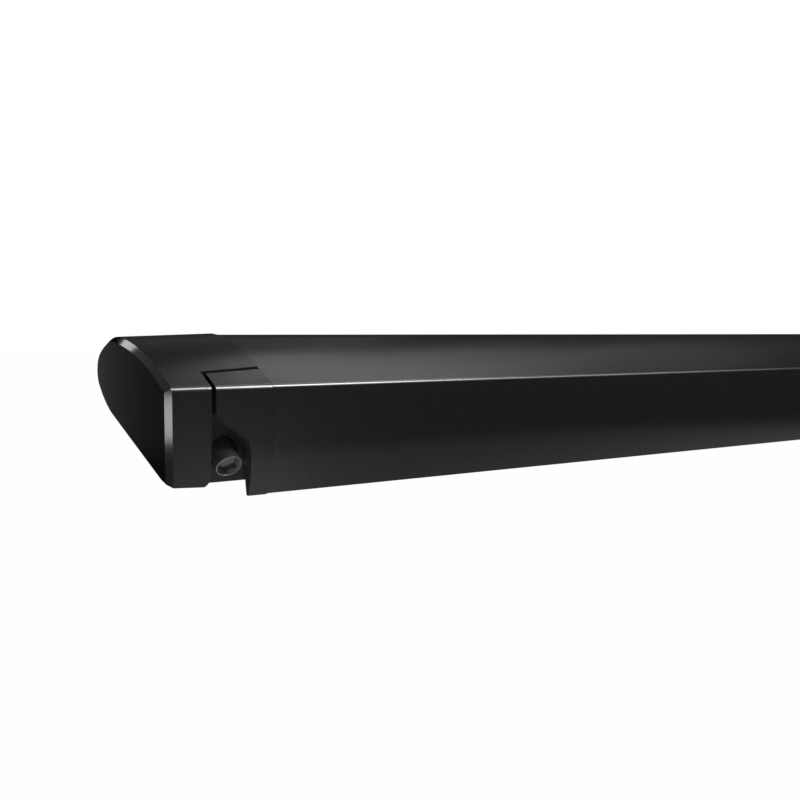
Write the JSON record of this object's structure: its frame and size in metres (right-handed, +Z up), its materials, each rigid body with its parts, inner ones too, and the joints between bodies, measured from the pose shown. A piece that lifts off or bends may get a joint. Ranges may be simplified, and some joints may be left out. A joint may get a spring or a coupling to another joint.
{
  "type": "roll out awning",
  "caption": "Closed cassette awning with two folding arms, a crank-driven cloth roller and a front rail that carries two telescopic legs.",
  "frame": {"origin": "middle of the awning's length, on the upper land of the rear mounting seat", "axes": "+X along the awning to the right seen from the front, -Y out of the front, +Z up"},
  "size_m": [3, 0.187, 0.1463],
  "materials": {
    "powder_coat": "anthracite powder coat, satin",
    "cap_plastic": "anthracite moulded plastic, fine satin",
    "arm_coat": "anthracite powder coat",
    "mill_aluminium": "mill finish",
    "cast_aluminium": "die cast, grey coat",
    "steel": "zinc plated",
    "black_plastic": "black nylon",
    "leg_aluminium": "satin anodised",
    "cloth": "coated awning cloth, grey",
    "rubber": "soft black rubber"
  },
  "bodies": {
    "cassette": {"housing_profile": "powder_coat", "left_end_cap": "cap_plastic", "right_end_cap": "cap_plastic", "underside_screws": "steel", "left_bearing_plate": "cast_aluminium", "right_bearing_plate": "cast_aluminium", "roller_bushes": "black_plastic", "gearbox_case": "cast_aluminium", "gearbox_cover": "cast_aluminium", "left_shoulder_bracket": "cast_aluminium", "right_shoulder_bracket": "cast_aluminium", "shoulder_pins": "steel", "slot_nuts": "steel", "lip_seal": "rubber", "canopy_front": "cloth"},
    "roller": {"roller_tube": "mill_aluminium", "left_roller_plug": "cast_aluminium", "right_roller_plug": "cast_aluminium", "worm_wheel": "steel", "canopy_roll": "cloth"},
    "crank_drive": {"crank_socket": "black_plastic", "worm_shaft": "steel"},
    "front_rail": {"front_rail_profile": "powder_coat", "left_rail_end_cap": "cap_plastic", "right_rail_end_cap": "cap_plastic", "rail_screws": "steel", "left_hand_bracket": "cast_aluminium", "right_hand_bracket": "cast_aluminium", "hand_pins": "steel", "leg_brackets": "cast_aluminium", "leg_pins": "steel", "canopy_bead": "cloth"},
    "left_upper_arm": {"left_upper_arm_tube": "arm_coat", "left_shoulder_knuckle": "cast_aluminium", "left_elbow_fork": "cast_aluminium", "left_elbow_pin": "steel", "left_arm_spring": "steel"},
    "left_forearm": {"left_forearm_tube": "arm_coat", "left_elbow_knuckle": "cast_aluminium", "left_hand_knuckle": "cast_aluminium"},
    "left_leg": {"left_leg_knuckle": "black_plastic", "left_leg_outer_tube": "leg_aluminium"},
    "left_leg_extension": {"left_leg_inner_tube": "leg_aluminium", "left_foot_fork": "black_plastic"},
    "left_foot": {"left_leg_foot": "black_plastic"},
    "left_lever": {"left_leg_lever": "black_plastic"},
    "right_upper_arm": {"right_upper_arm_tube": "arm_coat", "right_shoulder_knuckle": "cast_aluminium", "right_elbow_fork": "cast_aluminium", "right_elbow_pin": "steel", "right_arm_spring": "steel"},
    "right_forearm": {"right_forearm_tube": "arm_coat", "right_elbow_knuckle": "cast_aluminium", "right_hand_knuckle": "cast_aluminium"},
    "right_leg": {"right_leg_knuckle": "black_plastic", "right_leg_outer_tube": "leg_aluminium"},
    "right_leg_extension": {"right_leg_inner_tube": "leg_aluminium", "right_foot_fork": "black_plastic"},
    "right_foot": {"right_leg_foot": "black_plastic"},
    "right_lever": {"right_leg_lever": "black_plastic"}
  },
  "joints": [
    {"name": "left_shoulder", "type": "hinge", "parent": "cassette", "child": "left_upper_arm", "pos_m": [-1.33, -0.099, -0.04], "axis": [0, 0.225, -0.9744], "range_deg": [0, 78], "deforming": ["canopy_front"]},
    {"name": "left_elbow", "type": "hinge", "parent": "left_upper_arm", "child": "left_forearm", "pos_m": [-0.08008, -0.11264, -0.04315], "axis": [0, 0.225, -0.9744], "range_deg": [-156, 0]},
    {"name": "left_hand", "type": "hinge", "parent": "left_forearm", "child": "front_rail", "pos_m": [-1.33, -0.12628, -0.0463], "axis": [0, 0.225, -0.9744], "range_deg": [0, 78]},
    {"name": "right_shoulder", "type": "hinge", "parent": "cassette", "child": "right_upper_arm", "pos_m": [1.33, -0.099, -0.04], "axis": [0, -0.225, 0.9744], "range_deg": [0, 78]},
    {"name": "right_elbow", "type": "hinge", "parent": "right_upper_arm", "child": "right_forearm", "pos_m": [0.08008, -0.11264, -0.04315], "axis": [0, -0.225, 0.9744], "range_deg": [-156, 0]},
    {"name": "roller_spin", "type": "hinge", "parent": "cassette", "child": "roller", "pos_m": [0, -0.05, -0.01588], "axis": [1, 0, 0], "range_deg": [0, 4914]},
    {"name": "crank_spin", "type": "hinge", "parent": "cassette", "child": "crank_drive", "pos_m": [-1.44, -0.179, -0.0885], "axis": [0, 0.8, 0.6], "range_deg": [0, 22113]},
    {"name": "left_leg_fold", "type": "hinge", "parent": "front_rail", "child": "left_leg", "pos_m": [-1.262, -0.155, -0.074], "axis": [0, 1, 0], "range_deg": [0, 95]},
    {"name": "left_leg_extend", "type": "slide", "parent": "left_leg", "child": "left_leg_extension", "axis": [1, 0, 0], "range_m": [0, 1]},
    {"name": "left_foot_tilt", "type": "hinge", "parent": "left_leg_extension", "child": "left_foot", "pos_m": [-0.072, -0.155, -0.074], "axis": [0, 1, 0], "range_deg": [-25, 25]},
    {"name": "left_lever_swing", "type": "hinge", "parent": "left_leg", "child": "left_lever", "pos_m": [-0.122, -0.1417, -0.074], "axis": [0, 1, 0], "range_deg": [0, 60]},
    {"name": "right_leg_fold", "type": "hinge", "parent": "front_rail", "child": "right_leg", "pos_m": [1.262, -0.155, -0.1], "axis": [0, -1, 0], "range_deg": [0, 95]},
    {"name": "right_leg_extend", "type": "slide", "parent": "right_leg", "child": "right_leg_extension", "axis": [-1, 0, 0], "range_m": [0, 1]},
    {"name": "right_foot_tilt", "type": "hinge", "parent": "right_leg_extension", "child": "right_foot", "pos_m": [0.072, -0.155, -0.1], "axis": [0, -1, 0], "range_deg": [-25, 25]},
    {"name": "right_lever_swing", "type": "hinge", "parent": "right_leg", "child": "right_lever", "pos_m": [0.122, -0.1417, -0.1], "axis": [0, -1, 0], "range_deg": [0, 60]}
  ],
  "couplings": [
    {"joint": "left_elbow", "follows": "left_shoulder", "ratio": -2},
    {"joint": "left_hand", "follows": "left_shoulder", "ratio": 1},
    {"joint": "right_shoulder", "follows": "left_shoulder", "ratio": 1},
    {"joint": "right_elbow", "follows": "left_shoulder", "ratio": -2},
    {"joint": "roller_spin", "follows": "left_shoulder", "ratio": 63},
    {"joint": "crank_spin", "follows": "left_shoulder", "ratio": 283.5}
  ]
}
